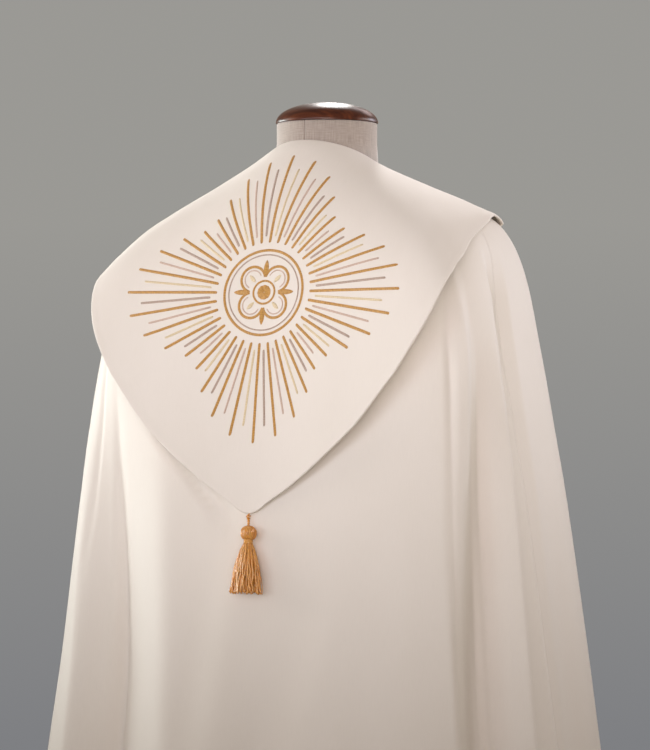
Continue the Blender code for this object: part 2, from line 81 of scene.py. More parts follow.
THIGH_DROP, HEM_DROP = MANTLE[10].side_drop, MANTLE[-1].side_drop

Spoke = namedtuple("Spoke", "angle edge_drop stand_off")
HOOD = [Spoke(*row) for row in (
    (0, 0.436, 0.003), (8, 0.417, 0.006), (16, 0.397, 0.010), (25, 0.367, 0.019),
    (34, 0.328, 0.027), (42, 0.274, 0.037), (48, 0.222, 0.044), (54, 0.175, 0.042),
    (60, 0.150, 0.026), (70, 0.123, 0.008), (80, 0.106, 0.003), (91, 0.091, 0.008),
    (100, 0.098, 0.003), (108, 0.102, 0.002), (116, 0.118, 0.003), (124, 0.146, 0.004),
    (136, 0.190, 0.004), (150, 0.228, 0.004), (180, 0.262, 0.004),
)]
HOOD_LIFT = 0.0009
STAND_OFF_POWER = 3
TIP_ROUNDING = 4

CLASP_DROP, CLASP_HEIGHT, CLASP_HALF_ANGLE, CLASP_LIFT = 0.300, 0.050, 27, 0.0006

CORD_LENGTH = 0.013
BALL_RADIUS = 0.0095
BINDING_RADIUS, BINDING_LENGTH = 0.0050, 0.006
SKIRT_LENGTH = 0.056
TASSEL_LEAN, TASSEL_ASIDE, TASSEL_OUT = 7, -0.006, 0.0086

NECK_RADIUS = 0.0602
NECK_TOP = NAPE_HEIGHT + 0.026
CAP_RADIUS, CAP_HEIGHT = 0.0615, 0.025
FORM_GAP, FORM_FALL, CLOTH = 0.0005, 0.003, 0.0020
TORSO_BELOW = [Level(*row) for row in (
    # the arm plate's top and foot, the chest, under the chest, the waist and hip, and the form's foot
    (0.205, 0.150, 0.148, 0.190, 0.138, 0.216, 2.8, 2.5),
    (0.192, 0.215, 0.152, 0.245, 0.146, 0.265, 2.8, 2.5),
    (0.178, 0.310, 0.148, 0.318, 0.150, 0.324, 2.6, 2.5),
    (0.166, 0.400, 0.135, 0.400, 0.139, 0.400, 2.4, 2.4),
    (0.157, 0.490, 0.119, 0.490, 0.126, 0.490, 2.3, 2.3),
    (0.176, 0.610, 0.131, 0.610, 0.126, 0.610, 2.3, 2.3),
    (0.181, 0.700, 0.134, 0.700, 0.128, 0.700, 2.3, 2.3),
)]
POLE_RADIUS = 0.014
BASE_RADIUS, BASE_EDGE, BASE_ROUND = 0.200, 0.014, 0.008
SOCKET_BOTTOM = 0.030
BOSS_RADIUS, BOSS_TOP = 0.030, 0.075

# ---- sizes that differ or are added here
MANTLE_THICK = 0.0016  # face cloth and lining, pressed together
CLASP_THICK = 0.0018
FORM_SEAM = 0.0012  # how deep the seam down the form's linen back lies
SEWN_GAP = 0.00004  # between two panels at a side seam
SEAM_SQUARE = 8  # how much tighter a sewn edge is than a free one
CAP_FULLNESS = 0.95  # 1 is an ellipse, and less is fuller
BEVEL = 0.002

# The folds of the sides and the front are the solids' own. Four on each side of the centre back
# have a place, width and depth of their own here.
Fold = namedtuple(
    "Fold", "start_drop start_angle thigh_angle hem_angle half_width thigh_depth hem_depth lean",
    defaults=(0,),
)
FOLDS = [Fold(*row) for row in (
    # from the centre back round the wearer's right to the front
    (0.44, -27, -6, 0, 11, -0.006, -0.020),
    (0.34, -36, -37, -35, 12, -0.004, -0.018),
    (0.26, -52, -50, -44, 8, 0.007, 0.018, -0.6),
    (0.18, -67, -62, -55, 10, -0.032, -0.036, 0.1),
    (0.14, -80, -75, -68, 7, 0.004, 0.016, 0.5),
    (0.40, -86, -84, -80, 8, -0.003, -0.022),
    (0.16, -102, -95, -89, 12, 0.006, 0.020),
    (0.24, -116, -110, -103, 8, -0.010, -0.030),
    (0.30, -127, -123, -117, 9, 0.006, 0.018),
    (0.28, -139, -136, -131, 8, -0.014, -0.032, 0.2),
    (0.34, -150, -148, -145, 8, 0.006, 0.018),
    (0.40, -161, -160, -159, 7, -0.008, -0.020),
    # from the centre back round the wearer's left to the front
    (0.36, -3, 9, 14, 13, 0.007, 0.018),
    (0.22, 36, 19, 15, 10, 0.003, 0.018, 0.2),
    (0.21, 51, 37.5, 28, 18, -0.040, -0.042, 0.25),
    (0.26, 70, 65, 58, 6, 0.003, 0.016),
    (0.14, 79, 74, 66, 8, -0.010, -0.026),
    (0.20, 92, 88, 82, 9, 0.006, 0.020),
    (0.16, 105, 102, 97, 8, -0.012, -0.030, 0.2),
    (0.26, 118, 116, 112, 9, 0.006, 0.018),
    (0.22, 131, 130, 127, 8, -0.012, -0.032),
    (0.34, 145, 144, 142, 8, 0.006, 0.018),
    (0.36, 158, 158, 157, 7, -0.008, -0.020),
)]

# A crease is a trough (depth below 0) or a ridge. Its widths are half its breadth in degrees, and its
# lean is the place of its line between its edges. It fades in over the first share of its length and
# out over the last. Softness 1 gives straight walls with tight edges, and more lets them run out.
Crease = namedtuple(
    "Crease",
    "top_drop top_angle mid_angle foot_drop foot_angle top_width foot_width depth lean"
    " fade_in fade_out softness",
    defaults=(1.7,),
)
CREASE_ROUNDING = 0.18  # of the way from a crease's line to its edge
CREASES = [Crease(*row) for row in (
    # the wearer's right side of the back: a valley between two long crests, with finer lines in it
    (0.16, -57.8, -55.5, 0.66, -55.2, 2.0, 2.6, -0.0050, 0.0, 0.25, 0.3),
    (0.12, -61.8, -60.2, 0.50, -59.4, 3.6, 3.2, 0.0060, -0.1, 0.3, 0.4),
    (0.23, -66.0, -61.2, 1.46, -54.5, 9.2, 6.2, -0.0145, 0.05, 0.2, 0.0, 1.0),
    (0.16, -70.6, -68.6, 1.20, -65.6, 4.0, 5.0, 0.0040, -0.5, 0.15, 0.3),
    (0.12, -79.4, -76.0, 1.30, -70.5, 5.0, 7.0, -0.0150, 0.5, 0.07, 0.3, 1.0),
    (0.18, -65.0, -66.8, 0.96, -61.5, 2.4, 2.8, -0.0042, 0.2, 0.3, 0.3),
    (0.36, -63.6, -62.8, 1.20, -57.5, 2.2, 2.8, 0.0030, 0.0, 0.3, 0.3),
    (0.46, -57.8, -56.6, 1.46, -55.2, 3.8, 4.2, -0.0135, 0.6, 0.14, 0.0, 1.0),
    # the wearer's left side of the back, and last a short one that slants under the hood
    (0.19, 56.5, 57.4, 0.56, 57.8, 1.4, 1.8, -0.0018, 0.0, 0.3, 0.4),
    (0.24, 51.0, 43.4, 1.20, 34.5, 3.4, 6.8, -0.0120, 0.25, 0.40, 0.3, 2.2),
    (0.31, 40.0, 20.5, 0.47, 0.0, 6.5, 6.5, -0.0120, 0.4, 0.35, 0.35),
)]


# ---- the surface of the cloth
def along(values, place):
    """The values at fractional places in a list, on a smooth curve through its entries."""
    values, place = np.asarray(values, float), np.asarray(place, float)
    last = len(values) - 1
    index = np.clip(np.floor(place).astype(int), 0, last - 1)
    share = place - index
    before, start = values[np.maximum(index - 1, 0)], values[index]
    end, after = values[index + 1], values[np.minimum(index + 2, last)]
    leave, arrive = (end - before) / 2, (after - start) / 2
    blend = share * share * (3 - 2 * share)
    bow = leave * share * (1 - share) ** 2 - arrive * share**2 * (1 - share)
    return start * (1 - blend) + end * blend + bow


def smooth_step(share):
    share = np.clip(share, 0.0, 1.0)
    return share * share * (3 - 2 * share)


def column(levels, name, place):
    return along([getattr(level, name) for level in levels], place)


def level_point(levels, angle, place):
    """Points of the level lines at these angles round the figure, without folds."""
    turn, place = np.broadcast_arrays(np.radians(angle), place)
    sine, cosine = np.sin(turn), np.cos(turn)

    def back_or_front(name):
        halves = (column(levels, f"{half}_{name}", place) for half in ("back", "front"))
        return np.where(cosine > 0, *halves)

    square = back_or_front("square")
    across = np.abs(sine) / column(levels, "side_x", place)
    deep = np.abs(cosine) / back_or_front("y")
    reach = (across**square + deep**square) ** (-1 / square)
    side = column(levels, "side_drop", place)
    fall = np.abs(cosine) ** np.where(cosine > 0, BACK_FALL, FRONT_FALL)
    drop = side + (back_or_front("drop") - side) * fall
    return np.stack([reach * sine, reach * cosine, NAPE_HEIGHT - drop], axis=-1)


def through_three(drop, drops, angles):
    """The parabola through three angles at three drops."""
    (a, b, c), (at_a, at_b, at_c) = drops, angles
    return (
        at_a * (drop - b) * (drop - c) / ((a - b) * (a - c))
        + at_b * (drop - a) * (drop - c) / ((b - a) * (b - c))
        + at_c * (drop - a) * (drop - b) / ((c - a) * (c - b))
    )


def across_fold(off, lean):
    """The profile of a fold, 1 on its line and 0 at its edges, with the line moved by the lean."""
    moved = (off - lean) / (1 - lean * off)
    return np.where(np.abs(off) < 1, np.cos(np.clip(moved, -1, 1) * math.pi / 2) ** 2, 0.0)


def across_crease(off, lean, softness):
    """The profile of a crease, 1 on its line and 0 at its edges."""
    side = np.where(off > lean, 1 - lean, 1 + lean)
    away = np.abs(off - lean) / side
    away = np.sqrt(away**2 + CREASE_ROUNDING**2) - CREASE_ROUNDING
    away = away / (math.hypot(1, CREASE_ROUNDING) - CREASE_ROUNDING)
    return np.clip(1 - away, 0, 1) ** softness


def fold_depth(angle, drop):
    """How far the folds and creases move the cloth out."""
    total = np.zeros(np.broadcast(angle, drop).shape)
    for fold in FOLDS:
        angles = fold.start_angle, fold.thigh_angle, fold.hem_angle
        middle = through_three(drop, (fold.start_drop, THIGH_DROP, HEM_DROP), angles)
        off = np.clip((angle - middle) / fold.half_width, -1, 1)
        share = np.clip((drop - fold.start_drop) / (THIGH_DROP - fold.start_drop), 0, 1)
        grown = np.sin(math.pi / 2 * share)
        further = smooth_step((drop - THIGH_DROP) / (HEM_DROP - THIGH_DROP))
        depth = fold.thigh_depth * grown + (fold.hem_depth - fold.thigh_depth) * further
        total += depth * across_fold(off, fold.lean)
    for crease in CREASES:
        top, foot = crease.top_drop, crease.foot_drop
        angles = crease.top_angle, crease.mid_angle, crease.foot_angle
        middle = through_three(drop, (top, (top + foot) / 2, foot), angles)
        down = np.clip((drop - top) / (foot - top), 0, 1)
        width = crease.top_width + (crease.foot_width - crease.top_width) * down
        off = np.clip((angle - middle) / width, -1, 1)
        strength = smooth_step(down / crease.fade_in)
        if crease.fade_out > 0:
            strength = strength * smooth_step((1 - down) / crease.fade_out)
        total += crease.depth * strength * across_crease(off, crease.lean, crease.softness)
    return total


def unit(vectors):
    return vectors / np.linalg.norm(vectors, axis=-1, keepdims=True)


def outward(surface, angle, place):
    """The outward normals of a surface that is given as a function of angle and place."""
    low, high = np.maximum(place - 0.05, 0), np.minimum(place + 0.05, LAST_LEVEL)
    around = surface(angle + 0.5, place) - surface(angle - 0.5, place)
    down = surface(angle, high) - surface(angle, low)
    return unit(np.cross(around, down))


def smooth_mantle(angle, place):
    return level_point(MANTLE, angle, place)


def folded_mantle(angle, place):
    point = smooth_mantle(angle, place)
    out = outward(smooth_mantle, angle, place) * (1, 1, 0)
    return point + unit(out) * fold_depth(angle, NAPE_HEIGHT - point[..., 2])[..., None]


def place_at_drop(angle, drop):
    """The places on the mantle whose drop at these angles is the one given."""
    angle, drop = np.broadcast_arrays(angle, drop)
    low, high = np.zeros(angle.shape), np.full(angle.shape, float(LAST_LEVEL))
    for _ in range(30):
        middle = (low + high) / 2
        above = NAPE_HEIGHT - level_point(MANTLE, angle, middle)[..., 2] < drop
        low, high = np.where(above, middle, low), np.where(above, high, middle)
    return low


def opening_angle(place):
    """The angle of the front edge."""
    half = column(MANTLE, "opening", place) / column(MANTLE, "front_y", place)
    return 180 - np.degrees(np.arcsin(half))


def hood_spoke(angle, name):
    """A column of the hood's table at any angles, with the tip drawn round."""
    turn = np.abs(np.asarray(angle, float))
    rounded = (turn * turn / TIP_ROUNDING + TIP_ROUNDING) / 2
    turn = np.where(turn < TIP_ROUNDING, rounded, turn)
    angles = np.array([spoke.angle for spoke in HOOD], float)
    index = np.clip(np.searchsorted(angles, turn, side="right") - 1, 0, len(HOOD) - 2)
    share = (turn - angles[index]) / (angles[index + 1] - angles[index])
    return along([getattr(spoke, name) for spoke in HOOD], index + share)


def hood_point(angle, share, lift=0.0):
    """Points of the hood's inside, or lift above it: share 0 is the neckline and 1 the edge."""
    place = place_at_drop(angle, hood_spoke(angle, "edge_drop")) * share
    turn = np.radians(angle)
    stand_off = hood_spoke(angle, "stand_off") * share**STAND_OFF_POWER
    radial = np.stack([np.sin(turn), np.cos(turn), np.zeros(turn.shape)], axis=-1)
    out = outward(smooth_mantle, angle, place)
    out = out * (HOOD_LIFT + np.asarray(lift)[..., None])
    return smooth_mantle(angle, place) + out + radial * stand_off[..., None]


# ---- making pieces
def in_scene(name, data):
    made = bpy.data.objects.new(name, data)
    bpy.context.scene.collection.objects.link(made)
    return made


def new_piece(name, verts, faces, uvs, finishes, finish_of=None):
    """A piece from arrays of corners and faces, with a UV for each corner."""
    mesh = bpy.data.meshes.new(name)
    mesh.from_pydata(verts.tolist(), [], [list(face) for face in faces])
    for finish in finishes:
        mesh.materials.append(finish)
    layer = mesh.uv_layers.new(name="UVMap")
    corners = np.zeros(len(mesh.loops), dtype=np.int32)
    mesh.loops.foreach_get("vertex_index", corners)
    layer.data.foreach_set("uv", uvs[corners].ravel())
    if finish_of is not None:
        mesh.polygons.foreach_set("material_index", np.asarray(finish_of, dtype=np.int32))
    mesh.shade_smooth()
    mesh.update()
    piece = in_scene(name, mesh)
    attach(piece, "root")
    return piece


def steps_between(points, axis):
    """Running length along one axis of a grid of points."""
    steps = np.diff(points, axis=axis, prepend=np.take(points, [0], axis=axis))
    return np.linalg.norm(steps, axis=-1).cumsum(axis=axis)


def quads(index):
    """The corners of each face of a grid of corner numbers, row by row."""
    corners = (index[:-1, :-1], index[:-1, 1:], index[1:, 1:], index[1:, :-1])
    return np.stack(corners, axis=-1).reshape(-1, 4)


def numbered(rows, columns):
    return np.arange(rows * columns).reshape(rows, columns)


def closed(index):
    """The grid with its first column again after its last, for a shape that goes all round."""
    return np.hstack([index, index[:, :1]])


def cloth_shell(name, middle, normals, thickness, extra_rise=0.0, seams=(False, False)):
    """A thin shell of cloth about a grid of points, with a lining and softly rounded edges.

    The grid's rows run down and its columns run with the angle. The two faces share their rim.
    A first or last column that is sewn to the next panel stays nearly square, so the seam closes."""
    rows, columns = middle.shape[:2]
    half = thickness / 2
    across, down = steps_between(middle, 1), steps_between(middle, 0)
    from_first = across * (SEAM_SQUARE if seams[0] else 1)
    from_last = (across[:, -1:] - across) * (SEAM_SQUARE if seams[1] else 1)
    to_edge = np.minimum.reduce([from_first, from_last, down, down[-1:] - down])
    rise = half * np.sqrt(np.clip(1 - (1 - np.clip(to_edge / half, 0, 1)) ** 2, 0, 1))
    outer = middle + normals * (rise + extra_rise * rise / half)[..., None]
    inner = middle - normals * rise[..., None]
    index = numbered(rows, columns)
    inner_index = np.full((rows, columns), -1)
    inner_index[0], inner_index[-1] = index[0], index[-1]
    inner_index[:, 0], inner_index[:, -1] = index[:, 0], index[:, -1]
    free = inner_index < 0
    inner_index[free] = rows * columns + np.arange(free.sum())
    verts = np.concatenate([outer.reshape(-1, 3), inner[free]])
    flat = np.stack([across - across[:, [columns // 2]], -down], axis=-1)
    uvs = np.concatenate([flat.reshape(-1, 2), flat[free]])
    faces = np.concatenate([quads(index), quads(inner_index)[:, ::-1]])
    return new_piece(name, verts, faces, uvs, (face_cloth, lining_cloth), np.repeat((0, 1), len(faces) // 2))


EDGE_SHARES = (0.0002, 0.0006, 0.0012, 0.0025)


def even(count):
    return np.linspace(0, 1, count + 1)


def tight_ends(shares, near=EDGE_SHARES):
    """These shares from 0 to 1, with closer ones near both ends."""
    return np.unique(np.concatenate([shares, near, 1 - np.array(near)]))


def closer_steps(*stretches):
    """Shares from 0 to 1 across stretches of (start, end, step) in degrees, closer at both ends."""
    angles = np.concatenate([np.arange(start, end, step) for start, end, step in stretches])
    first, last = stretches[0][0], stretches[-1][1]
    return tight_ends((np.append(angles, last) - first) / (last - first))


# ---- finishes
SHADER = "Principled BSDF"


def new_finish(name, colour, roughness, **sockets):
    """A new finish, with more of its shader's sockets by name."""
    made = bpy.data.materials.new(name)
    made.use_nodes = True
    sockets.update(Base_Color=(*colour, 1), Roughness=roughness)
    for socket, value in sockets.items():
        made.node_tree.nodes[SHADER].inputs[socket.replace("_", " ")].default_value = value
    return made


def add_node(made, kind, inputs=None, **settings):
    """The outputs of a new node in a finish or in the world. An input is a socket or a value."""
    node = made.node_tree.nodes.new(f"ShaderNode{kind}")
    for key, value in settings.items():
        setattr(node, key, value)
    for key, value in (inputs or {}).items():
        if isinstance(value, bpy.types.NodeSocket):
            made.node_tree.links.new(value, node.inputs[key])
        else:
            node.inputs[key].default_value = value
    return node.outputs


def coordinates(made, kind):
    return add_node(made, "TexCoord")[kind]


def one_axis(made, place, axis):
    return add_node(made, "SeparateXYZ", {"Vector": place})[axis]


def scaled(made, place, scale, turn=0.0):
    stretch = {"Vector": place, "Scale": scale, "Rotation": (0, 0, turn)}
    return add_node(made, "Mapping", stretch)["Vector"]


def noise(made, place, scale, detail):
    """Cloudy noise, stretched by a scale for each axis."""
    cloud = {"Vector": scaled(made, place, scale), "Scale": 1.0, "Detail": detail}
    return add_node(made, "TexNoise", cloud)["Fac"]


def bands(made, place, scale, axis, pace, distortion, detail, turn=0.0):
    """Soft stripes that follow each other along an axis."""
    at = scaled(made, place, scale, turn)
    stripes = {"Vector": at, "Scale": pace, "Distortion": distortion, "Detail": detail}
    return add_node(made, "TexWave", stripes, wave_type="BANDS", bands_direction=axis)["Fac"]


def math_node(made, kind, first, second=0.0):
    return add_node(made, "Math", {0: first, 1: second}, operation=kind)[0]


def ranged(made, value, low, high, to_low=0.0, to_high=1.0):
    """The value, with the range from low to high stretched over another and held at its ends."""
    limits = {"Value": value, "From Min": low, "From Max": high, "To Min": to_low, "To Max": to_high}
    return add_node(made, "MapRange", limits)[0]


def mixed(made, share, limits, *colours):
    """A blend of two colours, the first at the start of a share's range and the second at its end."""
    first, second = (part if isinstance(part, bpy.types.NodeSocket) else (*part, 1) for part in colours)
    blend = {0: ranged(made, share, *limits), 6: first, 7: second}
    return add_node(made, "Mix", blend, data_type="RGBA")[2]


def dressed(made, pattern, height, strength, distance, socket="Base Color"):
    """The finish, once its pattern and its relief are joined to its shader."""
    relief = add_node(made, "Bump", {"Height": height, "Strength": strength, "Distance": distance})
    for source, name in ((pattern, socket), (relief["Normal"], "Normal")):
        made.node_tree.links.new(source, made.node_tree.nodes[SHADER].inputs[name])
    return made


SLUB_SHADE = 0.02  # how much darker a slub can be


def woven_cloth(name, colour, shade, roughness, thread, twill, bump, sheen=0.0):
    """Woven cloth on its UVs, which are in metres: twill or plain weave, slubs and a faint cloudiness."""
    made = new_finish(
        name, colour, roughness, Sheen_Weight=sheen, Sheen_Roughness=0.45, Specular_IOR_Level=0.3
    )
    uv = coordinates(made, "UV")
    turn = math.radians(45) if twill else 0.0
    fine = (1 / thread, 1 / thread, 1)
    warp, weft = (bands(made, uv, fine, axis, 0.5, 0.6, 1.0, turn) for axis in "XY")
    if twill:
        weave = math_node(made, "ADD", warp, math_node(made, "MULTIPLY", weft, 0.3))
    else:
        weave = math_node(made, "MULTIPLY", warp, weft)
    slubs, clouds = noise(made, uv, (900, 60, 1), 3.0), noise(made, uv, (5, 3, 1), 3.0)
    base = mixed(made, clouds, (0.35, 0.65), colour, shade)
    streaked = mixed(made, slubs, (0.3, 0.7, 0.0, SLUB_SHADE), base, (0, 0, 0))
    height = math_node(made, "ADD", weave, math_node(made, "MULTIPLY", slubs, 0.6))
    return dressed(made, streaked, height, bump, thread * 0.25)


def embroidery_thread(thread):
    """Shiny thread laid across a satin stitch: fine ribs across the UV's first direction, with painted shade
    darkening the grooves between them.
    """
    made = new_finish(
        f"{thread.name} embroidery thread", thread.colour, thread.roughness,
        Sheen_Weight=0.1, Anisotropic=0.5, Specular_IOR_Level=thread.gleam,
    )
    uv = coordinates(made, "UV")
    ribs = bands(made, uv, (2600, 500, 1), "X", 0.3, 1.5, 1.0)
    uneven = noise(made, uv, (700, 160, 1), 2.0)
    tone = mixed(made, uneven, (0.35, 0.65), thread.colour, thread.shade)
    # painted shade: the colour is darkened in the grooves between the ribs
    tone = mixed(made, ribs, (0.0, 0.5, 0.35, 0.0), tone, [part * 0.45 for part in thread.shade])
    return dressed(made, tone, ribs, 0.6, 0.00015)


def rayon_cord(name, light, middle, dark):
    """Twisted shiny rayon: every strand has its own tone, with fine filaments along the twist."""
    made = new_finish(name, middle, 0.24, Specular_IOR_Level=1.0)
    uv = coordinates(made, "UV")
    strand = math_node(made, "FLOOR", one_axis(made, uv, "X"))
    chance = add_node(made, "TexWhiteNoise", {"W": strand}, noise_dimensions="1D")["Value"]
    filaments = noise(made, uv, (22, 260, 1), 3.0)
    tone = mixed(made, chance, (0, 1), middle, light)
    tone = mixed(made, filaments, (0.38, 0.62), dark, tone)
    return dressed(made, tone, filaments, 0.5, 0.0003)


def polished_wood(name, dark, light):
    """Dark wood with long grain and pores under a clear polish."""
    made = new_finish(name, dark, 0.31, Coat_Weight=0.1, Coat_Roughness=0.16, Specular_IOR_Level=0.25)
    place = coordinates(made, "Object")
    grain = noise(made, place, (14, 130, 130), 5.0)
    rings = bands(made, place, (9, 60, 60), "Y", 1.0, 5.0, 3.0)
    tone = mixed(made, grain, (0.35, 0.7), dark, light)
    tone = mixed(made, rings, (0.2, 1.0, 0.0, 0.5), tone, dark)
    return dressed(made, tone, grain, 0.12, 0.0004)


def brushed_steel(name):
    """Plain steel, brushed round."""
    made = new_finish(name, (0.55, 0.55, 0.56), 0.32, Metallic=1.0)
    brushing = noise(made, coordinates(made, "Object"), (60, 60, 1600), 2.0)
    dullness = ranged(made, brushing, 0.3, 0.7, 0.24, 0.42)
    return dressed(made, dullness, brushing, 0.15, 0.0002, "Roughness")


def linen(name, light, dark, seam):
    """Coarse unbleached linen: threads of uneven tone both ways and a dark line of painted shade along the
    sewn seam's groove, on UVs in metres.
    """
    made = new_finish(name, light, 0.9, Sheen_Weight=0.6, Sheen_Roughness=0.5, Specular_IOR_Level=0.15)
    uv = coordinates(made, "UV")
    upright = math_node(made, "MULTIPLY", noise(made, uv, (950, 40, 1), 2.0), 0.68)
    level = math_node(made, "MULTIPLY", noise(made, uv, (40, 950, 1), 2.0), 0.32)
    threads = math_node(made, "ADD", upright, level)
    tone = mixed(made, threads, (0.36, 0.64), dark, light)
    aside = math_node(made, "ABSOLUTE", one_axis(made, uv, "X"))
    # painted shade: a dark line down the centre back, along the seam's groove
    tone = mixed(made, aside, (0.0003, 0.0011, 0.4, 0.0), tone, seam)
    return dressed(made, tone, threads, 0.5, 0.0004)


face_cloth = woven_cloth(
    "ivory face cloth", (0.84, 0.785, 0.735), (0.81, 0.755, 0.70), 0.62, 0.0006, True, 0.12, sheen=0.12
)
lining_cloth = woven_cloth(
    "ivory lining satin", (0.82, 0.76, 0.69), (0.79, 0.73, 0.65), 0.42, 0.0004, False, 0.1
)
tassel_rayon = rayon_cord("gold rayon", (1.0, 0.57, 0.15), (0.88, 0.37, 0.06), (0.44, 0.145, 0.012))
# the last colour is the painted shade of the seam's groove
linen_cover = linen("linen cover", (0.47, 0.40, 0.355), (0.31, 0.26, 0.23), (0.10, 0.085, 0.075))
dark_wood = polished_wood("polished dark wood", (0.045, 0.011, 0.006), (0.14, 0.038, 0.015))
steel_tube = brushed_steel("brushed steel")


# ---- the mantle
MANTLE_ROWS, FRONT_COLUMNS = 150, 150
NEAR_TOP, NEAR_HEM = (0.012, 0.03, 0.06), (0.0015, 0.004, 0.008)  # closer rows, in levels from each end


def mantle_panel(name, start, end, shares, seams):
    """A panel of the mantle between two edges, each a function of the place that gives an angle."""
    places = np.linspace(0, LAST_LEVEL, MANTLE_ROWS + 1)
    places = np.unique(np.concatenate([places, NEAR_TOP, LAST_LEVEL - np.array(NEAR_HEM)]))
    place = places[:, None]
    first, last = start(place), end(place)
    angle = first + (last - first) * shares
    place = np.broadcast_to(place, angle.shape)
    outside = folded_mantle(angle, place)
    out = outward(folded_mantle, angle, place)
    middle = outside - out * (MANTLE_THICK / 2)
    return cloth_shell(name, middle, out, MANTLE_THICK, seams=seams)


def seam_shift(place):
    """How far a sewn edge stays short of the seam's angle."""
    return np.degrees(SEWN_GAP / 2 / column(MANTLE, "side_x", place))


back = mantle_panel(
    "cope_back",
    lambda place: -SIDE_SEAM + seam_shift(place),
    lambda place: SIDE_SEAM - seam_shift(place),
    closer_steps((-80, -50, 0.4), (-50, 28, 1.0), (28, 62, 0.5), (62, 80, 1.0)),
    (True, True),
)
front_left = mantle_panel(
    "cope_front_left",
    lambda place: SIDE_SEAM + seam_shift(place),
    opening_angle,
    tight_ends(even(FRONT_COLUMNS)),
    (True, False),
)
front_right = mantle_panel(
    "cope_front_right",
    lambda place: -opening_angle(place),
    lambda place: -SIDE_SEAM - seam_shift(place),
    tight_ends(even(FRONT_COLUMNS)),
    (False, True),
)
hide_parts("mantle_back")
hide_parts("mantle_front_left")
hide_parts("mantle_front_right")

# ---- the hood
HOOD_COLUMNS, HOOD_ROWS = 240, 84
NEAR_NECK, NEAR_EDGE = (0.002, 0.006), (0.975, 0.985, 0.994, 0.9975, 0.999, 0.9996)  # closer rows
HOOD_HEM, HOOD_HEM_RISE, HOOD_HEM_STEP = 0.0085, 0.0004, 0.0025  # the turned edge, its height and step

hood_shares = np.unique(np.concatenate([even(HOOD_ROWS), NEAR_NECK, NEAR_EDGE]))
end_angle = opening_angle(place_at_drop(180.0, HOOD[-1].edge_drop) * hood_shares)
hood_angles = end_angle[:, None] * (2 * tight_ends(even(HOOD_COLUMNS)) - 1)
hood_share = np.broadcast_to(hood_shares[:, None], hood_angles.shape)


def grid_normals(points):
    """Outward normals of a grid whose rows run down and whose columns run with the angle."""
    return unit(np.cross(np.gradient(points, axis=1), np.gradient(points, axis=0)))


hood_middle = hood_point(hood_angles, hood_share, HOOD_CLOTH / 2)
hood_out = grid_normals(hood_middle)
from_edge = steps_between(hood_middle, 0)
from_edge = from_edge[-1:] - from_edge
turned = HOOD_HEM_RISE * smooth_step((HOOD_HEM - from_edge) / HOOD_HEM_STEP + 1)
hood = cloth_shell("cope_hood", hood_middle, hood_out, HOOD_CLOTH, turned)
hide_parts("hood")

# ---- the clasp tab
clasp_angles = 180 + CLASP_HALF_ANGLE * (2 * tight_ends(even(60), (0.002, 0.006, 0.012)) - 1)
clasp_drops = CLASP_DROP + CLASP_HEIGHT * (tight_ends(even(20), (0.004, 0.012, 0.03)) - 0.5)
clasp_angle, clasp_drop = np.meshgrid(clasp_angles, clasp_drops)
clasp_place = place_at_drop(clasp_angle, clasp_drop)
clasp_out = outward(smooth_mantle, clasp_angle, clasp_place)
clasp_middle = smooth_mantle(clasp_angle, clasp_place) + clasp_out * (CLASP_LIFT + CLOTH / 2)
clasp = cloth_shell("clasp_tab_cloth", clasp_middle, clasp_out, CLASP_THICK)
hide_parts("clasp_tab")


# ---- the embroidery on the hood
# A plain sunburst of satin stitch bars round a quatrefoil, drawn on a flat plane against the hood's
# back and laid onto its surface.
SUN_SHARE = 0.600  # of the way from the neckline to the tip, where the sunburst's middle lies
STITCH_RISE, SEED_RISE, BUTTON_RISE = 0.0008, 0.0009, 0.0010
STITCH_SINK, ROUNDED_END = 0.0002, 0.001
TABLE_REACH, TABLE_STEP, TABLE_ROWS = 75, 0.5, 240  # degrees each way, degrees a column, rows

table_angles = np.arange(-TABLE_REACH, TABLE_REACH + TABLE_STEP, TABLE_STEP)
table_angle, table_share = np.meshgrid(table_angles, even(TABLE_ROWS))
hood_outside = hood_point(table_angle, table_share, HOOD_CLOTH)
hood_outward = grid_normals(hood_outside)


def from_table(table, angle, share):
    """Values of a table of the hood at any angle and share, from the nearest four entries."""
    column_at = np.clip((angle + TABLE_REACH) / TABLE_STEP, 0, len(table_angles) - 1.001)
    row_at = np.clip(share * TABLE_ROWS, 0, TABLE_ROWS - 0.001)
    i, j = row_at.astype(int), column_at.astype(int)
    a, b = (row_at - i)[..., None], (column_at - j)[..., None]
    left = table[i, j] * (1 - a) + table[i + 1, j] * a
    right = table[i, j + 1] * (1 - a) + table[i + 1, j + 1] * a
    return left * (1 - b) + right * b


sun_middle, sun_normal = (
    from_table(table, 0.0, SUN_SHARE) for table in (hood_outside, hood_outward)
)
sun_across = np.array((1.0, 0.0, 0.0))
sun_up = unit(np.cross(sun_normal, sun_across))
sun_plane = np.stack([sun_across, math.copysign(1, sun_up[2]) * sun_up])
COARSE = np.s_[::8, ::10]  # the entries of the hood's table among which a search begins
ANGLE_STEP, SHARE_STEP = 0.25, 0.002


def crossed(first, second):
    return first[:, 0] * second[:, 1] - first[:, 1] * second[:, 0]


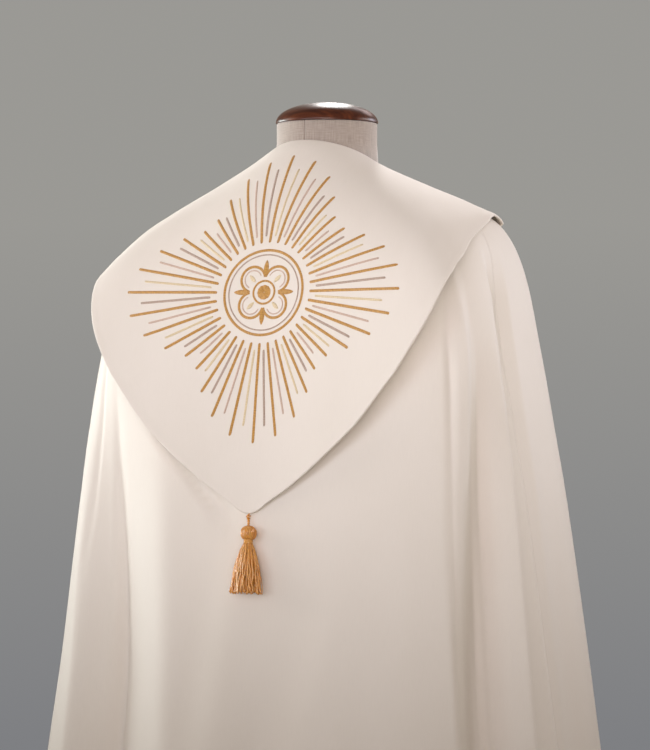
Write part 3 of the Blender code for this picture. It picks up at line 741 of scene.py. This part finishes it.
def on_hood(flat, rise):
    """Points of the drawing plane laid on the hood, this far above its surface."""
    shape = flat.shape[:-1]
    wanted = flat.reshape(-1, 2)
    known = ((hood_outside[COARSE] - sun_middle) @ sun_plane.T).reshape(-1, 2)
    nearest = np.argmin(((wanted[:, None] - known[None]) ** 2).sum(-1), axis=1)
    angle, share = (table[COARSE].ravel()[nearest] for table in (table_angle, table_share))

    def drawn(angle, share):
        return (from_table(hood_outside, angle, share) - sun_middle) @ sun_plane.T

    for _ in range(12):
        here = drawn(angle, share)
        by_angle = (drawn(angle + ANGLE_STEP, share) - here) / ANGLE_STEP
        by_share = (drawn(angle, share + SHARE_STEP) - here) / SHARE_STEP
        miss = wanted - here
        area = crossed(by_angle, by_share)
        angle = np.clip(angle + crossed(miss, by_share) / area, 1 - TABLE_REACH, TABLE_REACH - 1)
        share = np.clip(share + crossed(by_angle, miss) / area, 0.01, 0.985)
    out = unit(from_table(hood_outward, angle, share)) * np.broadcast_to(rise, shape).reshape(-1, 1)
    return (from_table(hood_outside, angle, share) + out).reshape(*shape, 3)


ACROSS = np.array((-1.0, -0.85, -0.5, 0.0, 0.5, 0.85, 1.0))  # a bar's corners from side to side


def satin_bar(path, widths, rise=STITCH_RISE):
    """Corners, faces and UVs of a raised bar of satin stitch along a path of the drawing plane."""
    ahead = unit(np.gradient(path, axis=0))
    aside = np.stack([-ahead[:, 1], ahead[:, 0]], axis=-1)
    half = np.broadcast_to(widths, len(path))[:, None] / 2
    flat = path[:, None] + aside[:, None] * (half * ACROSS)[..., None]
    run = steps_between(path[:, None], 0)
    ends = np.sqrt(np.clip(np.minimum(run, run[-1] - run) / ROUNDED_END, 0, 1))
    height = (rise + STITCH_SINK) * np.sqrt(1 - ACROSS ** 2) * ends - STITCH_SINK
    index = numbered(*height.shape)
    top, underside = quads(index)[:, [0, 3, 2, 1]], quads(index[:, [0, -1]])
    faces = [*top, *underside, index[0], index[-1, ::-1]]
    uvs = np.stack(np.broadcast_arrays(run, half * ACROSS), axis=-1)
    return on_hood(flat, height).reshape(-1, 3), faces, uvs.reshape(-1, 2)


def joined(parts):
    """One set of corners, faces and UVs from several."""
    verts, faces, uvs = zip(*parts)
    firsts = np.cumsum([0, *map(len, verts)])
    faces = [np.add(face, first) for part, first in zip(faces, firsts) for face in part]
    return np.concatenate(verts), faces, np.concatenate(uvs)


def toward(turn):
    return np.array((math.sin(turn), math.cos(turn)))


def ray(turn, start, end, width):
    """A straight bar that points away from the middle."""
    run = np.linspace(start, end, max(4, int((end - start) / 0.006)))
    return satin_bar(run[:, None] * toward(turn), width)


def hoop(centre, radius, width, start=0.0, end=2 * math.pi, rise=STITCH_RISE):
    """A round bar, whole or in part; a whole one's ends overlap a little."""
    if end == 2 * math.pi:
        end += 0.002 / radius
    turns = np.linspace(start, end, max(8, int((end - start) * radius / 0.0025)) + 1)
    path = centre + radius * np.stack([np.sin(turns), np.cos(turns)], axis=-1)
    return satin_bar(path, width, rise)


def seed(turn, start, end, width):
    """A pointed oval, like a grain."""
    share = np.linspace(0, 1, 11)
    widths = 0.0004 + width * np.sin(math.pi * share) ** 0.8
    return satin_bar((start + (end - start) * share)[:, None] * toward(turn), widths, SEED_RISE)


RAYS, RAY_ORDER = 72, ("gold", "taupe", "gold", "rose", "gold", "cream")
LONG_REACH, SHORT_REACH = 0.176, 0.116
GOLD_START, OTHER_START, ODD_SHARE = 0.058, 0.066, 0.9  # where rays start; odd ones' share
Thread = namedtuple("Thread", "name width slot colour shade roughness gleam")
THREADS = {
    "gold": Thread("gold", 0.0036, "gold_thread", (0.70, 0.38, 0.085), (0.46, 0.22, 0.04), 0.34, 0.7),
    "taupe": Thread("taupe", 0.0030, "gold_thread", (0.60, 0.465, 0.39), (0.47, 0.35, 0.285), 0.42, 0.5),
    "rose": Thread("rose beige", 0.0026, "ivory_cloth", (0.74, 0.565, 0.48), (0.63, 0.46, 0.375), 0.42, 0.5),
    "cream": Thread("cream", 0.0028, "ivory_cloth", (0.88, 0.75, 0.53), (0.78, 0.63, 0.40), 0.42, 0.5),
}

bars = {kind: [] for kind in THREADS}
for number in range(RAYS):
    turn = 2 * math.pi * number / RAYS
    reach = SHORT_REACH + (LONG_REACH - SHORT_REACH) * abs(math.cos(2 * turn)) ** 1.5
    kind = RAY_ORDER[number % len(RAY_ORDER)]
    start = GOLD_START if kind == "gold" else OTHER_START
    end = reach * (1.0 if number % 2 == 0 else ODD_SHARE)
    bars[kind].append(ray(turn, start, end, THREADS[kind].width))
bars["gold"] += [hoop((0, 0), 0.050, 0.0034), hoop((0, 0), 0.0135, 0.0026)]
bars["taupe"] += [hoop((0, 0), 0.0445, 0.0018)]
for quarter in range(4):
    turn = math.pi / 4 + quarter * math.pi / 2
    centre = 0.0215 * toward(turn)
    bars["gold"].append(hoop(centre, 0.0150, 0.0034, turn - 2.2, turn + 2.2))
    bars["rose"].append(hoop(centre, 0.0105, 0.0016, turn - 2.0, turn + 2.0))
    bars["cream"].append(seed(turn, 0.0165, 0.0285, 0.0048))
    bars["gold"].append(seed(turn - math.pi / 4, 0.0185, 0.0385, 0.0062))
bars["gold"].append(hoop((0, 0), 0.0046, 0.0088, rise=BUTTON_RISE))

for kind, thread in THREADS.items():
    piece = new_piece(f"embroidery_{kind}", *joined(bars[kind]), (embroidery_thread(thread),))


# ---- the tassel
tassel_lean = math.radians(TASSEL_LEAN)
tassel_across = np.array((1.0, 0.0, 0.0))
tassel_out = np.array((0.0, math.cos(tassel_lean), math.sin(tassel_lean)))
tassel_down = np.array((0.0, math.sin(tassel_lean), -math.cos(tassel_lean)))
hood_tip = hood_point(np.array(0.0), np.array(1.0), HOOD_CLOTH / 2)
PLY_DEPTH = 0.25  # of a strand's radius, how deep the groove between its plies is


def hung(start, down, across=0.0, out=0.0):
    """Points this far down, across and out from a start, as the tassel leans."""
    moves = ((tassel_down, down), (tassel_across, across), (tassel_out, out))
    return start + sum(np.multiply.outer(far, way) for way, far in moves)


def swept(parts, path, radius, sides, lay=None):
    """Adds a tube along a path, with two plies if a lay, the length of one turn of them, is given.

    Its UVs are its number among the parts plus the share of a turn, and the run in metres."""
    ahead = unit(np.gradient(path, axis=0))
    side = unit(np.cross(ahead, tassel_out + 0.01 * tassel_across))
    other = np.cross(ahead, side)
    run = steps_between(path[:, None], 0)
    reach = np.broadcast_to(radius, len(run))[:, None]
    turns = 2 * math.pi * np.arange(sides) / sides
    if lay:
        wind = turns - 2 * math.pi / lay * run
        reach = reach * (1 - PLY_DEPTH + PLY_DEPTH * np.abs(np.cos(wind)))
    ring = side[:, None] * np.cos(turns)[:, None] + other[:, None] * np.sin(turns)[:, None]
    points = path[:, None] + ring * reach[..., None]
    verts = np.concatenate([points.reshape(-1, 3), path[[0, -1]]])
    index = closed(numbered(len(run), sides))
    faces = list(quads(index))
    for j in range(sides):
        faces.append((len(verts) - 2, index[0, j + 1], index[0, j]))
        faces.append((len(verts) - 1, index[-1, j], index[-1, j + 1]))
    number = len(parts)
    share = number + np.minimum(np.arange(sides) / sides, 0.95)
    uvs = np.stack(np.broadcast_arrays(share, run), axis=-1).reshape(-1, 2)
    ends = [(number + 0.5, run[0, 0]), (number + 0.5, run[-1, 0])]
    parts.append((verts, faces, np.concatenate([uvs, ends])))


chance = np.random.default_rng(7)
Ring = namedtuple("Ring", "count root_share end_width end_depth length_share")
STRAND_RINGS = [Ring(*row) for row in (
    (32, 0.90, 0.0180, 0.0112, 1.00),
    (27, 0.70, 0.0150, 0.0092, 0.99),
    (20, 0.50, 0.0114, 0.0070, 0.975),
    (14, 0.30, 0.0076, 0.0046, 0.965),
    (7, 0.12, 0.0036, 0.0022, 0.955),
)]
STRAYS = ((-0.0235, 0.0575, 0.003), (-0.0215, 0.0500, 0.005))  # thin ones: how far aside, down and out
ROOT_HIDDEN, SKIRT_EXTRA = 0.0045, 0.002
HEAD_STRANDS, HEAD_TOP, HEAD_FOOT = 24, 84, -50  # and the degrees above the ball's middle they span
HEAD_RADIUS, HEAD_STRAND, CORE_RADIUS = BALL_RADIUS - 0.0011, 0.0012, BALL_RADIUS - 0.0012
BINDING_TURNS, BINDING_TOP, BINDING_FALL = 5, BALL_RADIUS - 0.0030, 0.0052
BINDING_STRAND, WOUND_RADIUS = 0.00065, BINDING_RADIUS - 0.0002

strands = []
ball_centre = hung(hood_tip, CORD_LENGTH + BALL_RADIUS, TASSEL_ASIDE, TASSEL_OUT)
skirt_root = hung(ball_centre, BALL_RADIUS + BINDING_LENGTH - ROOT_HIDDEN)
step = np.linspace(0, 1, 40)
spread = 0.72 * (1 - (1 - step) ** 3.2) + 0.28 * step**2.5
thick = (0.00055 + 0.00045 * smooth_step(step * 3)) * np.where(step > 0.98, 0.7, 1.0)
for ring in STRAND_RINGS:
    start = BINDING_RADIUS * ring.root_share
    for strand in range(ring.count):
        turn = 2 * math.pi * (strand + 0.5 * (ring.count % 2) + chance.uniform(-0.3, 0.3)) / ring.count
        length = (SKIRT_LENGTH + SKIRT_EXTRA) * ring.length_share * (1 - abs(chance.normal(0, 0.03)))
        width = start + (ring.end_width - start) * spread
        depth = start + (ring.end_depth - start) * spread
        stray = chance.uniform(-0.0022, 0.0022)
        wave, phase, pace = chance.uniform(0.0004, 0.0011), chance.uniform(0, 6.3), chance.uniform(9, 17)
        aside = math.cos(turn) * width + stray * step + wave * np.sin(phase + step * pace) * step
        out = math.sin(turn) * depth + wave * np.cos(phase + step * pace * 0.8) * step
        swept(strands, hung(skirt_root, length * step, aside, out), thick, 9)
for aside_end, length, lift in STRAYS:
    aside = aside_end * smooth_step(step * 1.1) + 0.0008 * np.sin(step * 9)
    swept(strands, hung(skirt_root, length * step, aside, lift * step), 0.0004, 6)

bend = np.radians(np.linspace(HEAD_TOP, HEAD_FOOT, 16))
reach, height = HEAD_RADIUS * np.cos(bend), HEAD_RADIUS * np.sin(bend)
thick = HEAD_STRAND * np.clip(np.cos(bend) * 1.25, 0.35, 1.0)
for strand in range(HEAD_STRANDS):
    turn = 2 * math.pi * strand / HEAD_STRANDS + (bend[0] - bend) * 0.45
    path = hung(ball_centre, -height, reach * np.cos(turn), reach * np.sin(turn))
    swept(strands, path, thick, 8, lay=0.005)
step = np.linspace(-1, 1, 9)
core = hung(ball_centre, -step * CORE_RADIUS)
swept(strands, core, CORE_RADIUS * np.sqrt(np.clip(1 - step**2, 0.0001, 1)), 24)

turn = np.linspace(0, 2 * math.pi * BINDING_TURNS, BINDING_TURNS * 24)
fall = BINDING_TOP + turn / turn[-1] * BINDING_FALL
binding = hung(ball_centre, fall, np.cos(turn) * WOUND_RADIUS, np.sin(turn) * WOUND_RADIUS)
swept(strands, binding, BINDING_STRAND, 7)
tassel = new_piece("gold_tassel", *joined(strands), (tassel_rayon,))
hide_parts("tassel")

# Two plies of cord from the hood's tip to the ball, looser near the tip.
hang = unit(ball_centre - hood_tip)
side = unit(np.cross(hang, tassel_across))
length = np.linalg.norm(ball_centre - hood_tip) - BALL_RADIUS
step = np.linspace(0, 1, 40)
loose = 0.00085 + 0.0013 * np.sin(np.clip((step - 0.02) / 0.42, 0, 1) * math.pi) ** 2
plies = []
for ply in range(2):
    turn = math.pi * ply + 2 * math.pi * 2.6 * step
    path = (
        hood_tip
        + (0.0004 + (length + 0.0008) * step)[:, None] * hang
        + (np.cos(turn) * loose)[:, None] * np.cross(side, hang)
        + (np.sin(turn) * loose * 0.8)[:, None] * side
    )
    swept(plies, path, 0.00090, 8, lay=0.0025)
cord = new_piece("tassel_loop", *joined(plies), (tassel_rayon,))
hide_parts("tassel_cord")


# ---- the dress form
SEAM_ANGLES = np.array((0.35, 0.8, 1.4))  # of the columns beside the back seam; its groove ends at the last
NECK_RISES = (0.026, 0.0255, 0.022, 0.016, 0.010, 0.005, 0.002)
NECK_ROUNDING = 0.0006  # how far the neck's top ring is drawn in
WEAVE_RADIUS = 0.12  # at which the linen's UVs are in metres


def make_form():
    """The linen-covered form: neck, shoulders just inside the mantle's, and the body to the hips."""
    levels = MANTLE[: SHOULDER_END + 1] + TORSO_BELOW
    angles = np.arange(-177.75, 179, 2.25)
    angles = np.unique(np.concatenate([angles, SEAM_ANGLES, -SEAM_ANGLES, (-179.8, 179.8)]))
    turn = np.radians(angles)
    groove = FORM_SEAM * np.clip(1 - np.abs(angles) / SEAM_ANGLES[-1], 0, 1) ** 2
    rows = []
    for rise in NECK_RISES:
        radius = NECK_RADIUS - (NECK_ROUNDING if rise == NECK_RISES[0] else 0) - groove
        height = np.full(len(angles), NAPE_HEIGHT + rise)
        rows.append(np.stack([radius * np.sin(turn), radius * np.cos(turn), height], axis=-1))

    def body(angle, place):
        return level_point(levels, angle, place)

    under_cloth = np.linspace(0, SHOULDER_END, 17)
    for place in (*under_cloth, *np.linspace(SHOULDER_END, len(levels) - 1, 29)[1:]):
        inset = CLOTH + FORM_GAP + FORM_FALL * smooth_step(2 * place / SHOULDER_END - 1)
        inset = (inset if place <= SHOULDER_END else 0) + groove
        at = np.full(len(angles), place)
        rows.append(body(angles, at) - outward(body, angles, at) * inset[:, None])
    grid = np.stack(rows)
    index = numbered(*grid.shape[:2])
    faces = [*quads(closed(index)), index[0, ::-1], index[-1]]
    flat = np.stack(np.broadcast_arrays(turn * WEAVE_RADIUS, grid[:, :1, 2]), axis=-1)
    return new_piece("linen_form", grid.reshape(-1, 3), faces, flat.reshape(-1, 2), (linen_cover,))


form = make_form()
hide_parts("form_torso")


def disc(name, sides, radius, height):
    bpy.ops.object.select_all(action="DESELECT")
    bpy.ops.mesh.primitive_circle_add(
        vertices=sides, radius=radius, fill_type="NGON", location=(0, 0, height)
    )
    bpy.context.object.name = name
    return bpy.context.object


def turned_piece(name, profile, finish, sides=96):
    """A turned piece from (radius, height) pairs, drawn up ring by ring from a disc."""
    (radius, height), rest = profile[0], profile[1:]
    piece = disc(name, sides, radius, height)
    bpy.ops.object.mode_set(mode="EDIT")
    bpy.ops.mesh.select_all(action="SELECT")
    for new_radius, new_height in rest:
        bpy.ops.mesh.extrude_region_move(TRANSFORM_OT_translate={"value": (0, 0, new_height - height)})
        bpy.ops.transform.resize(
            value=(new_radius / radius, new_radius / radius, 1), center_override=(0, 0, new_height)
        )
        radius, height = new_radius, new_height
    bpy.ops.mesh.select_all(action="SELECT")
    bpy.ops.mesh.normals_make_consistent(inside=False)
    bpy.ops.object.mode_set(mode="OBJECT")
    bpy.ops.object.transform_apply(location=True, rotation=True, scale=True)
    bpy.ops.object.shade_smooth_by_angle(angle=math.radians(40))
    piece.data.materials.append(finish)
    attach(piece, "root")
    return piece


CAP_STEPS, CAP_TOP_RADIUS = 31, 0.0004
cap_bottom = NECK_TOP + SEAM_GAP
cap_profile = [(CAP_RADIUS - 0.0010, cap_bottom), (CAP_RADIUS - 0.0003, cap_bottom + 0.0003)]
for step in range(1, CAP_STEPS):
    turn = math.pi / 2 * step / CAP_STEPS
    reach = CAP_RADIUS * math.cos(turn) ** CAP_FULLNESS
    cap_profile.append((reach, cap_bottom + CAP_HEIGHT * math.sin(turn) ** CAP_FULLNESS))
cap_profile.append((CAP_TOP_RADIUS, cap_bottom + CAP_HEIGHT))
cap = turned_piece("neck_cap", cap_profile, dark_wood)
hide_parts("form_cap")

pole_bottom = SOCKET_BOTTOM + SEAM_GAP
pole_top = NAPE_HEIGHT - TORSO_BELOW[-1].side_drop - SEAM_GAP
pole = turned_piece("stand_pole", [(POLE_RADIUS, pole_bottom), (POLE_RADIUS, pole_top)], steel_tube, 64)
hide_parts("form_pole")

bore = POLE_RADIUS + SEAM_GAP
foot_profile = [(BASE_RADIUS - BEVEL, 0.0), (BASE_RADIUS - 0.0006, 0.0006), (BASE_RADIUS, BEVEL)]
for turn in np.radians(np.linspace(0, 90, 11)):
    across, up = BASE_ROUND * math.cos(turn), BASE_ROUND * math.sin(turn)
    foot_profile.append((BASE_RADIUS - BASE_ROUND + across, BASE_EDGE + up))
foot_profile += [
    (0.150, BASE_EDGE + BASE_ROUND * 1.03),
    (2 * BOSS_RADIUS, BASE_EDGE + 2 * BASE_ROUND),
    (1.45 * BOSS_RADIUS, BASE_EDGE + 2.8 * BASE_ROUND),
    (1.2 * BOSS_RADIUS, BASE_EDGE + 4 * BASE_ROUND),
    (BOSS_RADIUS, BOSS_TOP - BASE_ROUND),
    (BOSS_RADIUS, BOSS_TOP - BEVEL),
    (BOSS_RADIUS - BEVEL, BOSS_TOP),
    (bore, BOSS_TOP),
    (bore, SOCKET_BOTTOM),
]
foot = turned_piece("stand_foot", foot_profile, dark_wood, 128)
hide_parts("form_base")

# ---- floor, light and camera
VIEW_TURN = math.radians(206)
CAMERA_HEIGHT, CAMERA_AWAY, CAMERA_LENS, CAMERA_SHIFT = 1.261, 3.3, 132, -2 / 750
view_way = Vector((math.sin(VIEW_TURN), -math.cos(VIEW_TURN), 0))
picture_right = Vector((0, 0, 1)).cross(view_way)

floor = disc("studio_floor", 96, 3.4, 0)
floor.data.materials.append(new_finish("pale floor", (0.62, 0.61, 0.59), 0.6))


def looking(name, data, place, away):
    """A light or camera in the scene, with its back turned along a vector."""
    made = in_scene(name, data)
    made.location = place
    made.rotation_euler = away.to_track_quat("Z", "Y").to_euler()
    return made


def soft_light(name, turn, height, aim, power, colour, spread=40, distance=2.3, width=1.5, tall=0.9):
    """A soft box turned round the figure from the camera's way, positive to the picture's left."""
    light = bpy.data.lights.new(name, "AREA")
    light.shape = "RECTANGLE"
    light.size, light.size_y = width, tall
    light.energy, light.color, light.spread = power, colour, math.radians(spread)
    turn = math.radians(turn)
    away, aside = distance * math.cos(turn), -distance * math.sin(turn)
    place = view_way * away + picture_right * aside + Vector((0, 0, height))
    looking(name, light, place, place - Vector((0, 0, aim)))


for row in (
    ("left_back_light", 120, 1.4, 1.42, 4.1, (0.94, 1.0, 0.97)),
    ("left_light", 95, 1.9, 1.42, 1.3, (1.0, 0.88, 0.80)),
    ("left_front_light", 45, 1.4, 1.42, 1.1, (0.82, 0.94, 1.0)),
    ("high_front_light", 20, 1.9, 1.42, 0.9, (0.95, 0.85, 1.0)),
    ("front_light", 0, 1.4, 1.42, 2.15, (1.0, 0.93, 0.88)),
    ("right_light", -95, 1.9, 1.42, 1.5, (1.0, 0.96, 0.92)),
    ("right_back_light", -120, 1.9, 1.42, 1.9, (0.88, 0.88, 1.0)),
    ("high_back_light", 183, 2.7, 1.5, 22, (1.0, 0.98, 0.96), 180, 1.50, 0.19, 0.26),
    ("high_right_light", -150, 2.6, 1.5, 3.5, (1.0, 0.86, 0.88), 180, 1.61, 0.9, 0.5),
):
    soft_light(*row)

world = bpy.data.worlds.new("studio")
bpy.context.scene.world = world
world.use_nodes = True
background = world.node_tree.nodes["Background"]
# The camera sees a backdrop painted lighter at the top and darker towards the bottom, a painted falloff of
# the studio light; every other ray gets a plain warm light.
up = one_axis(world, coordinates(world, "Generated"), "Z")
backdrop = mixed(world, up, (-0.13, 0.055), (0.211, 0.215, 0.226), (0.326, 0.319, 0.300))
seen = add_node(world, "LightPath")["Is Camera Ray"]
tint = mixed(world, seen, (0, 1), (0.272, 0.232, 0.186), backdrop)
world.node_tree.links.new(tint, background.inputs["Color"])
background.inputs["Strength"].default_value = 1.0

camera = bpy.data.cameras.new("camera")
camera.sensor_width = 36
camera.lens = CAMERA_LENS
camera.shift_x = CAMERA_SHIFT
camera.dof.use_dof = False
eye = Vector((0, 0, CAMERA_HEIGHT)) + view_way * CAMERA_AWAY
bpy.context.scene.camera = looking("camera", camera, eye, view_way)
bpy.context.scene.view_settings.view_transform = "Standard"
